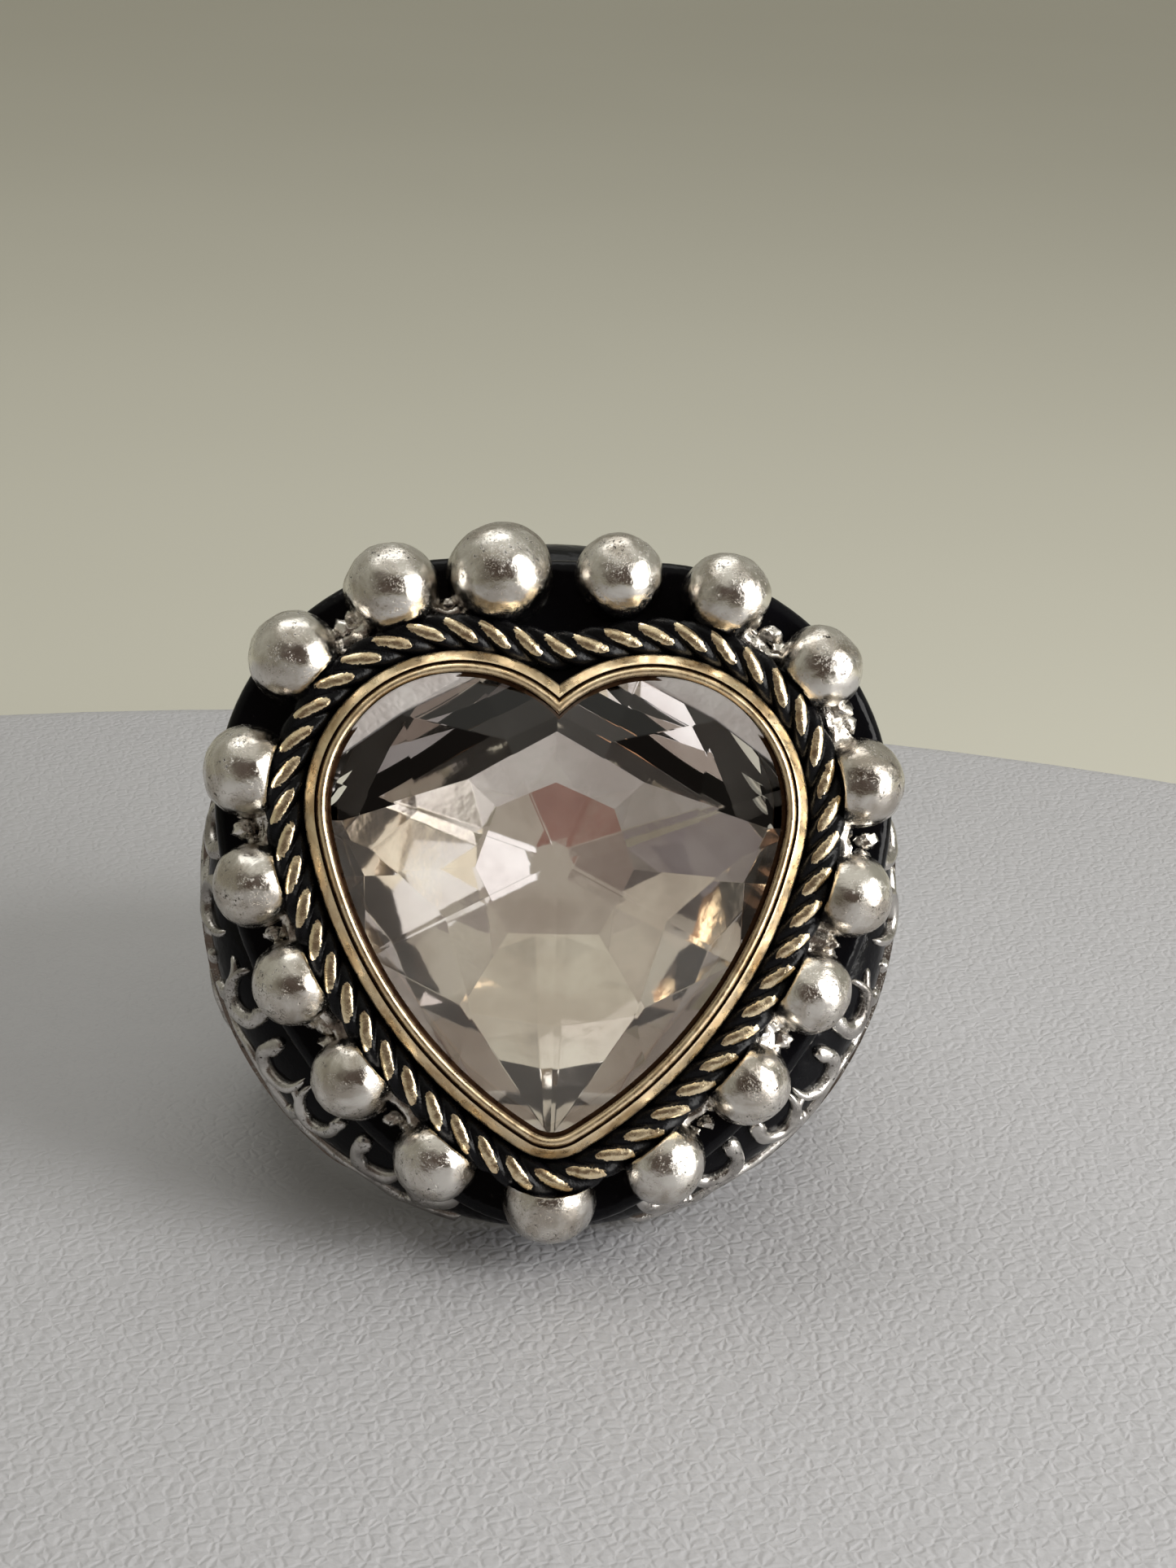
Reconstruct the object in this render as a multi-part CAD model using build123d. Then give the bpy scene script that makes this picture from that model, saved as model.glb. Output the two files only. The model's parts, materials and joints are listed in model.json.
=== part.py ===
from build123d import *
import math
import os

os.makedirs("parts", exist_ok=True)

# The ring is drawn flat, with the finger hole along Y. X runs across the heart, +Y from the heart's
# point to its cleft, and +Z out of the finger through the stone. It is leaned back onto its resting
# edges last of all. Sizes are millimetres. "Gap" always means the distance outside the heart-shaped
# opening of the bezel, and "height" the distance from the finger hole's axis.

# Finger hole and band
BORE_RADIUS = 9.05  # US size 8
BAND_RADIUS = 10.75
BACK_HALF_WIDTH = 3.5
SHOULDER_HALF_WIDTH = 10.8
WAIST = (6.6, 3.0)  # half width and height where the band starts to flare under the head
BAND_EDGE_ROUND = 0.5
SHOULDER_RADIUS = 13.0
SHOULDER_REACH = 12.9
BAND_ROUND = 25.0  # degrees below the hole's axis where the round back ends
STRAIGHT_EDGE = 3.25  # how far up the back the band's edge lies on the table

# Head
HEAD_BASE = 10.3
HEAD_RADIUS = 12.7
DECK_HEIGHT = 13.0
PLATE_TOP = 13.6
PLATE_MARGIN = 1.0
PLATE_SKIRT = 12.0  # height where the plate's edge dies into the dome
PLATE_ROUND = 0.5
EDGE_STEP = 0.1  # upright edge left at the foot of the dome

# Heart opening of the bezel, made of tangent arcs
LOBE_X = 3.4
LOBE_Y = 2.7
LOBE_RADIUS = 4.6
LOBE_END = -12.0  # degrees, where each lobe runs into its flank
FLANK_RADIUS = 16.0
TIP_RADIUS = 1.1

# Round-topped outline through the balls, made the same way
RING_LOBE_Y = 2.9
RING_LOBE_RADIUS = 7.9
RING_LOBE_END = -8.0
RING_FLANK_RADIUS = 17.0
RING_TIP_RADIUS = 5.4

# Balls: the one at the point, then each pair as x, y, left radius, right radius
BALL_HEIGHT = 14.4
TIP_BALL = (0.0, -11.2, 1.6)
BALL_PAIRS = [
    (4.06, -9.86, 1.5, 1.5),
    (7.07, -7.0, 1.5, 1.5),
    (9.23, -3.68, 1.5, 1.5),
    (10.69, -0.2, 1.5, 1.5),
    (11.0, 3.85, 1.6, 1.55),
    (9.46, 7.98, 1.6, 1.5),
    (6.04, 10.5, 1.65, 1.55),
    (2.14, 11.14, 1.8, 1.55),
]

# Scrollwork
RELIEF = 0.35
BLOB = 0.8  # a blob's radius, as a share of its scroll's width
DOME_CURL_REACH = 11.85
DOME_CURL_RADIUS = 0.8
DOME_CURL_SWEEP = 230.0
DOME_CURL_WIDTH = 0.45
DOME_LINK_REACH = 12.3
DOME_SCROLL_FOOT = 0.3  # how far above the head's base its scrolls stop
LOWER_CURLS = (205, 222, 239)  # degrees round the head, on its left
UPPER_CURLS = (120, 137, 154, 171)
SHOULDER_CURL_WIDTH = 0.6
SHOULDER_CURLS = [  # across the band, height, radius, start and sweep in degrees
    (0.0, 5.6, 2.3, -60, 250),
    (0.0, 0.6, 1.7, 120, -250),
    (-4.6, 6.6, 1.4, 20, 240),
    (4.6, 6.6, 1.4, 160, -240),
    (-3.9, 2.4, 1.1, 0, -230),
    (3.9, 2.4, 1.1, 180, 230),
]

# Rope border
ROPE_INNER_GAP = 0.85
ROPE_OUTER_GAP = 2.3
ROPE_BED_TOP = 14.35
STRAND_GAP = 1.64
STRAND_COUNT = 50
STRAND_HALF_LENGTH = 0.72
STRAND_HALF_WIDTH = 0.26
STRAND_RISE = 0.95
STRAND_TURN = 35.0  # degrees between a strand's crest and the border

# Setting
CUP_BASE = 10.6
CUP_FLOOR = 11.0
CUP_GAP = 0.85
CUP_INNER_GAP = 0.35
BEARING_GAP = -0.7
BEARING_TOP = 14.45
RIM_BASE = 14.9
RIM_GAP = 0.97
RIM_SHOULDER = 15.35
RIM_TOP = 15.98
LIP_UNDERSIDE = 15.58
LIP_TOP = 15.66
LIP_CLEARANCE = 0.05
GROOVE_DEPTH = 0.28
GROOVE_OUTER_GAP = 0.62
GROOVE_INNER_GAP = 0.52
RIDGE_GAP = 0.25

# Stone
GIRDLE_GAP = 0.2
GIRDLE_BASE = 14.8
GIRDLE_TOP = 15.1
CROWN_POINT = 17.2
CULET_HEIGHT = 12.3  # the small flat that the back ends in
CULET_RADIUS = 2.3
STONE_CENTRE = (0.0, 0.8)
CROWN_SLOPE = 0.24
BACK_SLOPE = 0.2
RIDGE_SHARE = 0.6  # how far out to the girdle each ridge runs
BACK_RIDGE_SHARE = 0.85  # length of each ridge on the back, as a share of the crown kite before it
KITES = [  # direction in degrees and distance of each kite's outer corner from the stone's centre
    (90.0, 5.2),
    (42.8, 7.5),
    (-5.1, 7.7),
    (-49.8, 6.8),
    (-130.2, 6.8),
    (-174.9, 7.7),
    (137.2, 7.5),
]
RIDGES = [4.66, 5.22, 4.39, 5.8, 4.39, 5.22, 4.66]  # length of the ridge after each kite
FOIL_THICKNESS = 0.06
CEMENT_HEIGHT = 1.6
CEMENT_RADIUS = 3.2


def arc_outline(lobe_y, lobe_radius, lobe_end, flank_radius, tip_radius, joined):
    """Edges of a heart drawn with tangent arcs. A joined one bridges its cleft with a straight line."""
    end = math.radians(lobe_end)
    reach = flank_radius - lobe_radius
    flank = (LOBE_X - reach * math.cos(end), lobe_y - reach * math.sin(end))
    tip_y = flank[1] - math.sqrt((flank_radius - tip_radius) ** 2 - flank[0] ** 2)
    tip = math.degrees(math.atan2(tip_y - flank[1], -flank[0]))
    top = 90 if joined else 180 - math.degrees(math.acos(LOBE_X / lobe_radius))
    half = Curve() + [
        CenterArc(flank, flank_radius, tip, lobe_end - tip),
        CenterArc((LOBE_X, lobe_y), lobe_radius, lobe_end, top - lobe_end),
    ]
    outline = half + mirror(half, about=Plane.YZ)
    outline += CenterArc((0, tip_y), tip_radius, -180 - tip, 180 + 2 * tip)
    if joined:
        across = lobe_y + lobe_radius
        outline += Line((-LOBE_X, across), (LOBE_X, across))
    return outline


def heart(gap):
    """Heart-shaped edges at a gap outside the bezel's opening."""
    return arc_outline(
        LOBE_Y, LOBE_RADIUS + gap, LOBE_END, FLANK_RADIUS + gap, TIP_RADIUS + gap, False
    )


def ball_ring(gap):
    """Edges at a gap outside the line that the balls stand on."""
    return arc_outline(
        RING_LOBE_Y,
        RING_LOBE_RADIUS + gap,
        RING_LOBE_END,
        RING_FLANK_RADIUS + gap,
        RING_TIP_RADIUS + gap,
        True,
    )


def prism(outline, low, high):
    return Pos(0, 0, low) * extrude(make_face(outline), high - low)


def heart_stack(steps):
    """Solid through heart outlines given as gap and height, from the lowest up."""
    solid = None
    for (low_gap, low), (high_gap, high) in zip(steps, steps[1:]):
        if low_gap == high_gap:
            layer = prism(heart(low_gap), low, high)
        else:
            base = Pos(0, 0, low) * make_face(heart(low_gap))
            lid = Pos(0, 0, high) * make_face(heart(high_gap))
            layer = loft([base, lid], ruled=True)
        solid = layer if solid is None else solid + layer
    return solid


def heart_ring(outer_gap, inner_gap, low, high):
    return prism(heart(outer_gap), low, high) - prism(heart(inner_gap), low, high)


def drum(radius, low, high):
    return Pos(0, 0, (low + high) / 2) * Cylinder(radius, high - low)


# ---------------------------------------------------------------- band

LEAN = math.degrees(math.atan2(HEAD_RADIUS - BACK_HALF_WIDTH, HEAD_BASE + BAND_RADIUS))


def band_side_view(grow):
    """The band seen along the finger: a round back that swells into two shoulders under the head."""
    angle = math.radians(BAND_ROUND)
    radius = BAND_RADIUS + grow
    joint = (radius * math.cos(angle), -radius * math.sin(angle))
    shoulder = (SHOULDER_REACH + grow, HEAD_BASE)
    along = (math.sin(angle), math.cos(angle))
    side = JernArc(joint, along, *side_arc(joint, along, shoulder))
    outline = Curve() + [side, mirror(side, about=Plane.YZ)]
    outline += CenterArc((0, 0), radius, BAND_ROUND - 180, 180 - 2 * BAND_ROUND)
    outline += Line((-shoulder[0], HEAD_BASE), shoulder)
    return outline


def side_arc(start, along, end):
    """Radius and sweep in degrees of the arc that leaves start in a direction and reaches end."""
    chord = (end[0] - start[0], end[1] - start[1])
    turn = math.atan2(chord[1], chord[0]) - math.atan2(along[1], along[0])
    return math.hypot(*chord) / (2 * math.sin(turn)), math.degrees(2 * turn)


def band_blank(grow):
    """The band's outer shape, with its flanks left full, to a distance outside its surface."""
    seen = Plane.XZ * make_face(band_side_view(grow))
    return extrude(seen, HEAD_RADIUS, both=True) & drum(SHOULDER_RADIUS + grow, -BAND_RADIUS - 1, HEAD_BASE)


def band_width():
    """The band seen from the side: its edges lie on the table at the back, and flare under the head."""
    slope = math.tan(math.radians(LEAN))
    back = -BAND_RADIUS - 1
    bend = -BAND_RADIUS + STRAIGHT_EDGE
    start = (BACK_HALF_WIDTH - slope, back)
    joint = (BACK_HALF_WIDTH + slope * STRAIGHT_EDGE, bend)
    along = (math.sin(math.radians(LEAN)), math.cos(math.radians(LEAN)))
    flank = JernArc(joint, along, *side_arc(joint, along, WAIST))
    turned = tuple(flank % 1)[:2]
    end = (SHOULDER_HALF_WIDTH, HEAD_BASE)
    half = Curve() + [Line(start, joint), flank, JernArc(WAIST, turned, *side_arc(WAIST, turned, end))]
    outline = half + mirror(half, about=Plane.YZ)
    outline += Line((-start[0], back), start)
    outline += Line((-end[0], HEAD_BASE), end)
    return extrude(Plane.YZ * make_face(outline), SHOULDER_RADIUS + 1, both=True)


def shank():
    hole = Rot(90, 0, 0) * Cylinder(BORE_RADIUS, 4 * HEAD_RADIUS)
    band = (band_blank(0) & band_width()) - hole
    below_head = band.edges().filter_by(lambda edge: edge.bounding_box().min.Z < HEAD_BASE - 1)
    return fillet(below_head, BAND_EDGE_ROUND)


# ---------------------------------------------------------------- head


def dome_blank(grow):
    """The domed head to a distance outside its surface: a drum whose top edge is one large round."""
    body = drum(HEAD_RADIUS + grow, HEAD_BASE, DECK_HEIGHT + grow)
    rim = body.edges().group_by(Axis.Z)[-1]
    return fillet(rim, DECK_HEIGHT - HEAD_BASE - EDGE_STEP + grow)


def head_dome():
    return dome_blank(0) - prism(heart(CUP_GAP), CUP_BASE, DECK_HEIGHT)


def bead_plate():
    """The plate that the balls stand on, with a round edge that runs down over the dome."""
    cap = prism(ball_ring(PLATE_MARGIN), PLATE_SKIRT, PLATE_TOP)
    cap = fillet(cap.edges().group_by(Axis.Z)[-1], PLATE_ROUND)
    return cap - dome_blank(0) - prism(heart(CUP_GAP), PLATE_SKIRT, PLATE_TOP)


def ball(x, y, radius):
    """A ball soldered flat to the plate and cut back where the rope passes."""
    whole = Pos(x, y, BALL_HEIGHT) * Sphere(radius)
    above = Pos(x, y, PLATE_TOP + radius * 2) * Box(radius * 4, radius * 4, radius * 4)
    return (whole & above) - prism(heart(ROPE_OUTER_GAP), PLATE_TOP, BALL_HEIGHT + 2 * radius)


def balls():
    """Every ball in turn, from the point of the heart up its left side and down its right."""
    left = [(-x, y, radius) for x, y, radius, _ in BALL_PAIRS]
    right = [(x, y, radius) for x, y, _, radius in reversed(BALL_PAIRS)]
    return [ball(*place) for place in [TIP_BALL, *left, *right]]


# ---------------------------------------------------------------- scrollwork


def curl(x, y, radius, start, sweep, width):
    """A scroll's flat outline: an arc of even width with a round end and a larger blob."""
    arc = CenterArc((x, y), radius, start, sweep)
    return trace(arc, width) + Pos(arc @ 0) * Circle(width / 2) + Pos(arc @ 1) * Circle(width * BLOB)


def dome_scrolls(angles, hand):
    """Raised curls along the dome's slope, joined at their feet. hand is 1 on the left, -1 on the right."""
    flat = Sketch()
    for i, angle in enumerate(angles):
        turn = 1 if i % 2 else -1
        start = (180 - DOME_CURL_SWEEP) / 2 - 45
        motif = curl(
            DOME_CURL_REACH, 0, DOME_CURL_RADIUS, start * turn, DOME_CURL_SWEEP * turn, DOME_CURL_WIDTH
        )
        flat += Rot(0, 0, angle) * motif
    link = CenterArc((0, 0), DOME_LINK_REACH, min(angles), max(angles) - min(angles))
    flat += trace(link, DOME_CURL_WIDTH)
    if hand < 0:
        flat = mirror(flat, about=Plane.YZ)
    foot = drum(SHOULDER_RADIUS + 1, HEAD_BASE - 1, HEAD_BASE + DOME_SCROLL_FOOT)
    layer = dome_blank(RELIEF) - dome_blank(0) - foot
    under_plate = prism(ball_ring(PLATE_MARGIN), PLATE_SKIRT, PLATE_TOP)
    return (Pos(0, 0, HEAD_BASE) * extrude(flat, DECK_HEIGHT) & layer) - under_plate


def shoulder_scrolls(hand):
    """Raised curls on one shoulder of the band. hand is -1 for the left shoulder, 1 for the right."""
    flat = Sketch()
    for across, height, radius, start, sweep in SHOULDER_CURLS:
        flat += curl(across, height, radius, start, sweep, SHOULDER_CURL_WIDTH)
    cutter = extrude(Plane.YZ * flat, hand * 2 * SHOULDER_RADIUS)
    return cutter & (band_blank(RELIEF) - band_blank(0))


# ---------------------------------------------------------------- rope border


def rope_bed():
    return heart_ring(ROPE_OUTER_GAP, ROPE_INNER_GAP, PLATE_TOP, ROPE_BED_TOP)


def rope_strands():
    """The crests of the twisted wires: half lenses on the bed, turned the same way all round."""
    path = Wire(heart(STRAND_GAP).edges())
    crest = scale(Sphere(1), by=(STRAND_HALF_LENGTH, STRAND_HALF_WIDTH, STRAND_RISE))
    crest &= Pos(0, 0, 1) * Box(2, 2, 2)
    strands = []
    for i in range(STRAND_COUNT):
        at = (i + 0.5) / STRAND_COUNT
        spot = path.position_at(at)
        along = path.tangent_at(at)
        heading = math.degrees(math.atan2(along.Y, along.X))
        strands.append(Pos(spot.X, spot.Y, ROPE_BED_TOP) * Rot(0, 0, heading + STRAND_TURN) * crest)
    return Compound(strands)


# ---------------------------------------------------------------- setting


def stone_cup():
    return prism(heart(CUP_GAP), CUP_BASE, RIM_BASE) - prism(heart(CUP_INNER_GAP), CUP_FLOOR, RIM_BASE)


def bezel_rim():
    """The grooved rim: a sloping outer face, a groove, and a ridge that turns down to the stone."""
    body = heart_stack([(RIM_GAP, RIM_BASE), (RIM_GAP, RIM_SHOULDER), (GROOVE_INNER_GAP, RIM_TOP)])
    body -= prism(heart(CUP_INNER_GAP), RIM_BASE, LIP_UNDERSIDE)
    body -= heart_stack([(0, LIP_UNDERSIDE), (0, LIP_TOP), (RIDGE_GAP, RIM_TOP)])
    return body - heart_ring(GROOVE_OUTER_GAP, GROOVE_INNER_GAP, RIM_TOP - GROOVE_DEPTH, RIM_TOP)


def bearing_strip(stone_and_foil):
    return heart_ring(CUP_INNER_GAP, BEARING_GAP, CUP_FLOOR, BEARING_TOP) - stone_and_foil


def cement_pad(stone_and_foil):
    pad = Pos(*STONE_CENTRE, CUP_FLOOR) * extrude(Circle(CEMENT_RADIUS), CEMENT_HEIGHT)
    return pad - stone_and_foil


# ---------------------------------------------------------------- stone


def facet_planes(kites, ridges, side, point_height, rim_height, slope):
    """Outward planes of one half of the stone. side is 1 for the crown and -1 for the back.

    Kites of equal slope meet at the point, and where two of them meet there is a ridge. Past the end
    of each ridge a pair of steeper facets falls to the girdle.
    """

    def spot(azimuth, distance, height):
        angle = math.radians(azimuth)
        return Vector(
            STONE_CENTRE[0] + distance * math.cos(angle),
            STONE_CENTRE[1] + distance * math.sin(angle),
            height,
        )

    def on_kite(azimuth, distance, kite):
        fall = slope * distance * math.cos(math.radians(azimuth - kite))
        return spot(azimuth, distance, point_height - side * fall)

    def outward(first, second, third):
        normal = (second - first).cross(third - first)
        if normal.Z * side < 0:
            normal = -normal
        return Plane(origin=first, z_dir=normal)

    planes = []
    for i, (kite, tip) in enumerate(kites):
        next_kite, next_tip = kites[(i + 1) % len(kites)]
        azimuth = kite - ((kite - next_kite) % 360) / 2
        point = spot(0, 0, point_height)
        planes.append(outward(point, on_kite(kite - 1, tip, kite), on_kite(kite + 1, tip, kite)))
        ridge_end = on_kite(azimuth, ridges[i], kite)
        foot = spot(azimuth, ridges[i] / RIDGE_SHARE, rim_height)
        planes.append(outward(ridge_end, foot, on_kite(kite, tip, kite)))
        planes.append(outward(ridge_end, foot, on_kite(next_kite, next_tip, next_kite)))
    return planes


def back_kites():
    """The back's kites, each behind a ridge of the crown, and the length of the ridge after each."""
    kites, ridges = [], []
    for i, (kite, _) in enumerate(KITES):
        next_kite, next_tip = KITES[(i + 1) % len(KITES)]
        kites.append((kite - ((kite - next_kite) % 360) / 2, RIDGES[i] / RIDGE_SHARE))
        ridges.append(next_tip * BACK_RIDGE_SHARE)
    return kites, ridges


def cut_stone(grow):
    """The stone with each surface moved out by a distance, before it is trimmed under the lip."""
    rough = prism(heart(GIRDLE_GAP + grow), CULET_HEIGHT - grow, CROWN_POINT + 1)
    crown = facet_planes(KITES, RIDGES, 1, CROWN_POINT, GIRDLE_TOP, CROWN_SLOPE)
    point_height = CULET_HEIGHT - CULET_RADIUS * BACK_SLOPE
    back = facet_planes(*back_kites(), -1, point_height, GIRDLE_BASE, BACK_SLOPE)
    for plane in crown + back:
        rough = split(rough, bisect_by=plane.offset(grow), keep=Keep.BOTTOM)
    return rough


def heart_crystal():
    """The stone, ground back a little where the rim's lip turns over it."""
    lip = heart_ring(RIM_GAP, -LIP_CLEARANCE, LIP_UNDERSIDE - LIP_CLEARANCE, RIM_TOP)
    return cut_stone(0) - lip


def foil_backing():
    """The foil hugs the stone's back from the girdle to the culet."""
    below = prism(heart(RIM_GAP), CUP_FLOOR, GIRDLE_BASE)
    return (cut_stone(FOIL_THICKNESS) & below) - cut_stone(0)


# ---------------------------------------------------------------- assembly

stone_and_foil = cut_stone(FOIL_THICKNESS)

pieces = {
    "shank": shank(),
    "head_dome": head_dome(),
    "scroll_left_shoulder": shoulder_scrolls(-1),
    "scroll_right_shoulder": shoulder_scrolls(1),
    "scroll_lower_left": dome_scrolls(LOWER_CURLS, 1),
    "scroll_lower_right": dome_scrolls(LOWER_CURLS, -1),
    "scroll_upper_left": dome_scrolls(UPPER_CURLS, 1),
    "scroll_upper_right": dome_scrolls(UPPER_CURLS, -1),
    "bead_plate": bead_plate(),
    "rope_bed": rope_bed(),
    "rope_strands": rope_strands(),
    "stone_cup": stone_cup(),
    "bezel_rim": bezel_rim(),
    "bearing_strip": bearing_strip(stone_and_foil),
    "foil_backing": foil_backing(),
    "cement_pad": cement_pad(stone_and_foil),
    "heart_crystal": heart_crystal(),
}
for number, piece in enumerate(balls(), start=1):
    pieces[f"bead_{number:02d}"] = piece

# Leaned back, the ring rests on the lower edge of its head and on the back of its band.
leaned = {name: Compound(piece.solids()).moved(Rot(90 - LEAN, 0, 0)) for name, piece in pieces.items()}
boxes = [piece.bounding_box() for piece in leaned.values()]
low_y = min(box.min.Y for box in boxes)
high_y = max(box.max.Y for box in boxes)
lean = math.radians(LEAN)
floor = HEAD_BASE * math.sin(lean) - HEAD_RADIUS * math.cos(lean)
stand = Pos(0, -(low_y + high_y) / 2, -floor)
for name, piece in leaned.items():
    export_step(piece.moved(stand), f"parts/{name}.step")

print("lean in degrees", round(LEAN, 3))
print("finger hole's middle", [0, round(-(low_y + high_y) / 2, 4), round(-floor, 4)])
print("finger hole's axis", [0, round(math.sin(lean), 6), round(math.cos(lean), 6)])
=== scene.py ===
import json
import math

import bmesh
import bpy
from mathutils import Matrix, Vector, noise
from mathutils.bvhtree import BVHTree

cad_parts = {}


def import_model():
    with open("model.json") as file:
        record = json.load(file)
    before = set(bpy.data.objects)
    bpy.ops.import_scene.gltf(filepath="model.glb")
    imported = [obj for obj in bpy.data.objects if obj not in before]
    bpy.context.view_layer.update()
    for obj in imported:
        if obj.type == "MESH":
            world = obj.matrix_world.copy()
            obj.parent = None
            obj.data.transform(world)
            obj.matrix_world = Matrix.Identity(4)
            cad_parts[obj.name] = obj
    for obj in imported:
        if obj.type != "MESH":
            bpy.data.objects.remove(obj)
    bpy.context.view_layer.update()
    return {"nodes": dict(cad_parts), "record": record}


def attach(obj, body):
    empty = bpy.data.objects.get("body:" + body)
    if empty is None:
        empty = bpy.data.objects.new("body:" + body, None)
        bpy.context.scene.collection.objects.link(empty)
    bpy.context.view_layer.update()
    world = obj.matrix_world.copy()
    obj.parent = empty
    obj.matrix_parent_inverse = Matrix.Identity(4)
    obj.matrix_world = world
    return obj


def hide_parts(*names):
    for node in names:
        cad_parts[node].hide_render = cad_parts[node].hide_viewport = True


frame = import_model()

# Pieces are shaped in the ring's own frame, in millimetres: X across the heart, Y from the heart's point
# to its cleft along the finger, Z out of the finger through the stone. The finger hole's mount gives
# where that frame lies. A "gap" is the distance outside the heart-shaped opening of the bezel.

MM = 0.001

# Heart opening of the bezel
LOBE = (3.4, 2.7)
LOBE_RADIUS = 4.6
LOBE_END = math.radians(-12.0)
FLANK_RADIUS = 16.0
TIP_RADIUS = 1.1

# Head
HEAD_BASE = 10.3
HEAD_RADIUS = 12.7
SLOPE_RADIUS = 2.6
SLOPE_FOOT = 0.1  # height of the upright edge under the slope
PLATE_TOP = 13.6
FACE_HEIGHT = 15.0

# Balls: the one at the point, then each pair as x, y, left radius, right radius
BALL_HEIGHT = 14.4
TIP_BALL = (0.0, -11.2, 1.6)
BALL_PAIRS = [
    (4.06, -9.86, 1.5, 1.5),
    (7.07, -7.0, 1.5, 1.5),
    (9.23, -3.68, 1.5, 1.5),
    (10.69, -0.2, 1.5, 1.5),
    (11.0, 3.85, 1.6, 1.55),
    (9.46, 7.98, 1.6, 1.5),
    (6.04, 10.5, 1.65, 1.55),
    (2.14, 11.14, 1.8, 1.55),
]
ROPE_EDGE = 2.28
BALL_FOOT = 0.75  # how far above the plate a ball starts to flare
SOLDER_WEBS = {  # the ball that each run of solder follows, clockwise from the point, and how full the run is
    2: 0.8, 3: 1.0, 4: 0.7, 5: 0.9, 7: 1.1, 8: 0.7,
    11: 0.8, 12: 1.2, 13: 0.8, 14: 1.2, 15: 1.1, 16: 0.7,
}

# Bezel: gap, height and patina of its section, from the foot of its outside to the groove, then from the
# ridge to the foot of its inside
BEZEL_OUTSIDE = [
    (0.97, 14.9, 0.6), (0.97, 15.2, 0.3), (0.965, 15.3, 0.0), (0.94, 15.37, 0.0), (0.9, 15.42, 0.0),
    (0.8, 15.53, 0.0), (0.7, 15.64, 0.0), (0.63, 15.71, 0.0), (0.59, 15.735, 0.1), (0.565, 15.7, 0.9),
    (0.54, 15.62, 1.0), (0.51, 15.62, 1.0),
]
BEZEL_INSIDE = [
    (0.135, 15.64, 1.0), (0.115, 15.59, 1.0), (0.0, 15.585, 0.8), (0.0, 15.56, 0.8),
    (0.36, 15.56, 1.0), (0.36, 14.9, 1.0),
]
RIDGE_GAP = 0.32
RIDGE_HEIGHT = 15.74
RIDGE_HALF_WIDTH = 0.165
RIDGE_RISE = 0.24
RIDGE_STEPS = 10
BEZEL_EVEN_TO = 15.3
BEZEL_WOBBLE = 0.025  # how unevenly the part above that is cast

# Rope border
ROPE_GAP = 1.68
ROPE_HEIGHT = 14.62
ROPE_RADIUS = 0.72
ROPE_CRESTS = 50
ROPE_WIRES = 4
ROPE_FLAT = 0.8  # share of the rope's radius above which its crests are rubbed down
ROPE_RUB = 0.75  # what is left of the height above that
ROPE_STEPS = 20  # mesh steps for each crest
ROPE_SIDES = 40
CLEFT_BEND = 1.1

# Stone
STONE_CENTRE = (0.0, 0.8)
GIRDLE_GAP = 0.1
GIRDLE_BASE = 14.8
GIRDLE_TOP = 15.1
CROWN_POINT = 17.2
CULET_HEIGHT = 12.3
CULET_RADIUS = 2.3
CROWN_SLOPE = 0.24
BACK_SLOPE = 0.2
RIDGE_SHARE = 0.6
KITES = [  # direction in degrees and distance of each kite's outer corner from the stone's centre
    (90.0, 5.2),
    (42.8, 7.5),
    (-5.1, 7.7),
    (-49.8, 6.8),
    (-130.2, 6.8),
    (-174.9, 7.7),
    (137.2, 7.5),
]
RIDGES = [4.66, 5.22, 4.39, 5.8, 4.39, 5.22, 4.66]  # length of the ridge after each kite
BACK_RIDGE_SHARE = 0.85
WORN_EDGE = 0.02
FOIL_GAP = 0.02
FOIL_THICKNESS = 0.06
FOIL_EDGE = (0.005, 0.03)  # how far the foil's folded edge lies from the girdle, inside and outside

# Scrollwork: the degrees round the head between which curls run on the left, and how far down the slope
LOWER_SCROLLS = ((196, 256), 1.75)
UPPER_SCROLLS = ((118, 190), 2.5)
DOME_CURL_STEP = 13  # degrees
SHOULDER_RISE = 0.38
SHOULDER_CURLS = [  # across, up, start and end radius, start and sweep in degrees, width, blob
    (0.0, 6.3, 2.5, 1.5, -70, 300, 0.42, 0.6),
    (0.2, 0.8, 2.1, 1.1, 130, -300, 0.38, 0.52),
    (-4.3, 7.0, 1.5, 0.9, 10, 270, 0.3, 0.42),
    (4.3, 7.0, 1.5, 0.9, 170, -270, 0.3, 0.42),
    (-3.9, 2.9, 1.3, 0.8, -20, -250, 0.3, 0.42),
    (3.9, 2.9, 1.3, 0.8, 200, 250, 0.3, 0.42),
    (-2.9, -1.4, 1.2, 0.7, 60, 230, 0.26, 0.36),
    (3.0, -1.4, 1.2, 0.7, 120, -230, 0.26, 0.36),
]

bore = frame["record"]["mounts"][0]
along_finger = Vector(bore["axis"])
out_of_finger = Vector((1, 0, 0)).cross(along_finger)
turn_to_row = Matrix(((1, 0, 0), along_finger, out_of_finger)).transposed()
ring_to_row = Matrix.Translation(Vector(bore["pos_m"])) @ turn_to_row.to_4x4() @ Matrix.Scale(MM, 4)
row_to_ring = ring_to_row.inverted()


# ---------------------------------------------------------------- materials


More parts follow.
